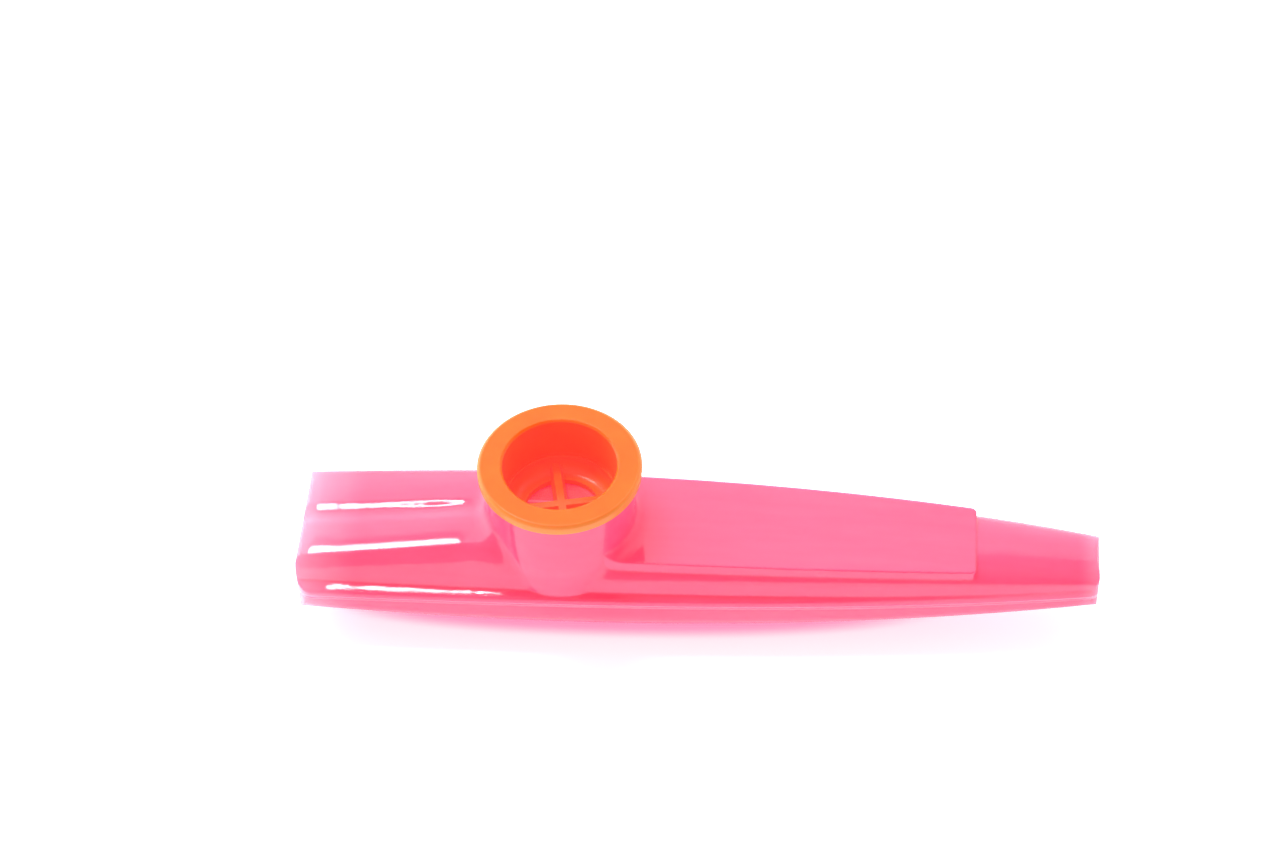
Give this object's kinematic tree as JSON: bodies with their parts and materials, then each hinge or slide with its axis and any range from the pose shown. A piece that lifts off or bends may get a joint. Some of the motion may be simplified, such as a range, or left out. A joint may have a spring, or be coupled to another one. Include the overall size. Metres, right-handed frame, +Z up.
{
  "type": "kazoo",
  "caption": "Slim hollow kazoo with a fluted mouthpiece, a round turret, a raised bare pad and a tapered exit; its push-in cap clamps a buzzing film.",
  "frame": {"origin": "on the surface it lies on, midway along its length and under its centre line", "axes": "+X from the mouthpiece to the exit, +Z up along the turret"},
  "size_m": [0.12, 0.0244, 0.0282],
  "materials": {
    "body_plastic": "glossy moulded",
    "cap_plastic": "satin moulded",
    "film": "clear film"
  },
  "bodies": {
    "body": {"upper_body": "body_plastic", "lower_body": "body_plastic"},
    "cap": {"turret_cap": "cap_plastic"},
    "film": {"buzz_film": "film"}
  },
  "joints": [
    {"name": "cap_pull", "type": "slide", "parent": "body", "child": "cap", "axis": [0, 0, 1], "range_m": [0, 0.024]},
    {"name": "film_lift", "type": "slide", "parent": "body", "child": "film", "axis": [0, 0, 1], "range_m": [0, 0.012]}
  ],
  "couplings": [
    {"joint": "film_lift", "follows": "cap_pull", "ratio": 0.5}
  ]
}
